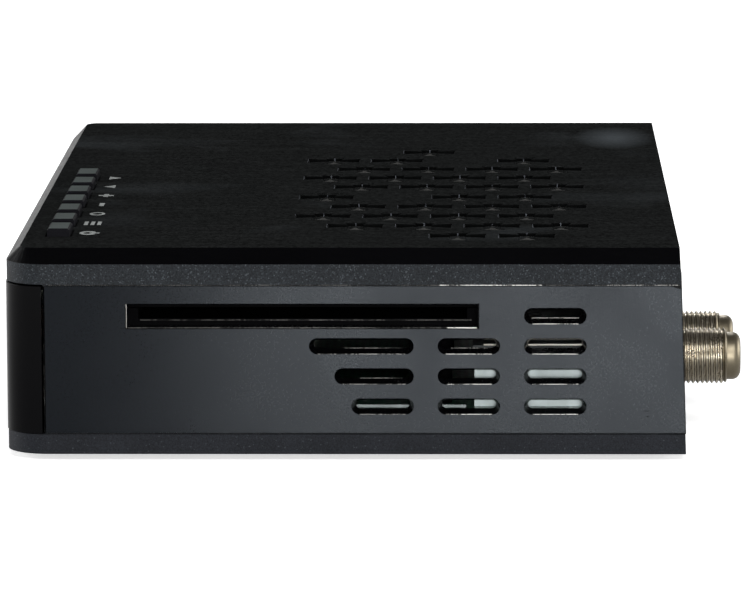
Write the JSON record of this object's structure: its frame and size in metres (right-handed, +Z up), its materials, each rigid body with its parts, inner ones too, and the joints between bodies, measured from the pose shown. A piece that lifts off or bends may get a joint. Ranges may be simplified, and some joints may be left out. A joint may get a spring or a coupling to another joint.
{
  "type": "satellite tv receiver",
  "caption": "Compact black set-top satellite receiver with top keys, cross-pattern vents, a side smart card slot and rear F connectors.",
  "frame": {"origin": "middle of the overall box, at the level the rubber feet stand on", "axes": "+X towards the side with the card slot, +Y towards the rear sockets, +Z up"},
  "size_m": [0.168, 0.1232, 0.0366],
  "materials": {
    "textured_abs": "spark-eroded black moulding",
    "satin_abs": "satin black-grey moulding",
    "gloss_fascia": "polished piano black moulding",
    "smoked_window": "dark smoked acrylic",
    "rubber": "matte black rubber",
    "black_screw": "black oxide",
    "nickel_screw": "nickel plated",
    "circuit_board": "green solder mask",
    "switch_steel": "stamped steel",
    "black_moulding": "moulded black",
    "red_lens": "tinted clear",
    "tin_plate": "bright tin plate",
    "nickel_plate": "satin nickel plate",
    "white_insulator": "moulded white",
    "gold_contact": "gold plated spring",
    "chip_epoxy": "moulded epoxy",
    "black_anodised": "black anodised extrusion",
    "capacitor_sleeve": "shrink sleeve",
    "ferrite": "ground ferrite",
    "cream_nylon": "moulded nylon",
    "ribbon_film": "laminated film",
    "key_abs": "fine matte grey moulding"
  },
  "bodies": {
    "case": {"base_tray": "textured_abs", "top_cover": "textured_abs", "side_panel_right": "satin_abs", "side_panel_left": "satin_abs", "front_fascia": "gloss_fascia", "display_window": "smoked_window", "rear_panel": "textured_abs", "rubber_feet": "rubber", "case_screws": "black_screw", "board_screws": "nickel_screw", "key_board": "circuit_board", "key_switches": "switch_steel", "main_board": "circuit_board", "front_board": "circuit_board", "display_module": "black_moulding", "ir_receiver": "black_moulding", "status_leds": "red_lens", "tuner_shield": "tin_plate", "tuner_lid": "tin_plate", "lnb_in_connector": "nickel_plate", "loop_out_connector": "nickel_plate", "connector_insulators": "white_insulator", "connector_contacts": "gold_contact", "card_reader_frame": "black_moulding", "card_reader_cover": "tin_plate", "card_contacts": "gold_contact", "hdmi_socket": "nickel_plate", "usb_socket": "nickel_plate", "av_jack": "black_moulding", "dc_jack": "black_moulding", "socket_tongues": "black_moulding", "dc_jack_pin": "nickel_plate", "processor": "chip_epoxy", "heat_sink": "black_anodised", "memory_chips": "chip_epoxy", "capacitors": "capacitor_sleeve", "inductors": "ferrite", "crystal": "nickel_plate", "regulators": "chip_epoxy", "board_headers": "cream_nylon", "front_ribbon": "ribbon_film", "key_ribbon": "ribbon_film"},
    "button_power": {"key_power": "key_abs", "plunger_power": "cream_nylon"},
    "button_menu": {"key_menu": "key_abs", "plunger_menu": "cream_nylon"},
    "button_ok": {"key_ok": "key_abs", "plunger_ok": "cream_nylon"},
    "button_volume_down": {"key_volume_down": "key_abs", "plunger_volume_down": "cream_nylon"},
    "button_volume_up": {"key_volume_up": "key_abs", "plunger_volume_up": "cream_nylon"},
    "button_channel_down": {"key_channel_down": "key_abs", "plunger_channel_down": "cream_nylon"},
    "button_channel_up": {"key_channel_up": "key_abs", "plunger_channel_up": "cream_nylon"}
  },
  "joints": [
    {"name": "press_power", "type": "slide", "parent": "case", "child": "button_power", "axis": [0, 0, -1], "range_m": [0, 0.00035], "stiffness_N_per_m": 2000, "springref_m": -0.0003},
    {"name": "press_menu", "type": "slide", "parent": "case", "child": "button_menu", "axis": [0, 0, -1], "range_m": [0, 0.00035], "stiffness_N_per_m": 2000, "springref_m": -0.0003},
    {"name": "press_ok", "type": "slide", "parent": "case", "child": "button_ok", "axis": [0, 0, -1], "range_m": [0, 0.00035], "stiffness_N_per_m": 2000, "springref_m": -0.0003},
    {"name": "press_volume_down", "type": "slide", "parent": "case", "child": "button_volume_down", "axis": [0, 0, -1], "range_m": [0, 0.00035], "stiffness_N_per_m": 2000, "springref_m": -0.0003},
    {"name": "press_volume_up", "type": "slide", "parent": "case", "child": "button_volume_up", "axis": [0, 0, -1], "range_m": [0, 0.00035], "stiffness_N_per_m": 2000, "springref_m": -0.0003},
    {"name": "press_channel_down", "type": "slide", "parent": "case", "child": "button_channel_down", "axis": [0, 0, -1], "range_m": [0, 0.00035], "stiffness_N_per_m": 2000, "springref_m": -0.0003},
    {"name": "press_channel_up", "type": "slide", "parent": "case", "child": "button_channel_up", "axis": [0, 0, -1], "range_m": [0, 0.00035], "stiffness_N_per_m": 2000, "springref_m": -0.0003}
  ]
}
